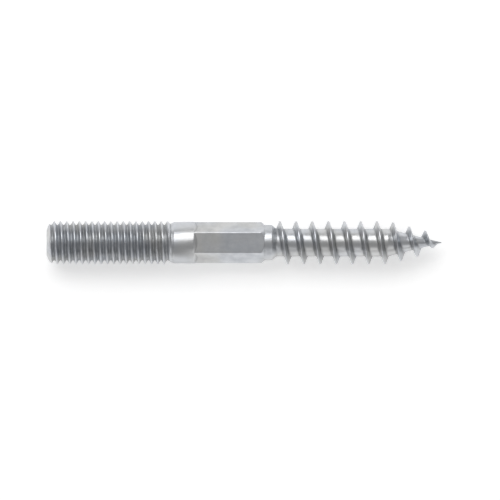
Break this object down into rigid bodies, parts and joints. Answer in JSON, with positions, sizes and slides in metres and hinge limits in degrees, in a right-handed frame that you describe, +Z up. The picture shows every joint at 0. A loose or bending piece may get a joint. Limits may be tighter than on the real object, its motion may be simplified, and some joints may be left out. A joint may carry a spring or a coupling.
{
  "type": "hanger bolt",
  "caption": "Hanger bolt: metric thread with a domed end and hexagon socket, plain shank, hexagon for a spanner, neck and coarse wood thread running to a sharp point",
  "frame": {"origin": "On the bolt's axis, where the neck meets the wood thread: the surface of the wood when the bolt is driven home", "axes": "+X runs along the axis to the point, so the metric thread lies at -X. +Z is up as the bolt lies, and faces one flat of the hexagon. Corners of the hexagon and of the socket point to +Y and -Y"},
  "size_m": [0.1099, 0.012, 0.012],
  "materials": {
    "zinc_plated_steel": "bright zinc plating on cold-formed steel, with faint roll marks"
  },
  "bodies": {
    "root": {"hanger_bolt": "zinc_plated_steel"}
  },
  "joints": []
}
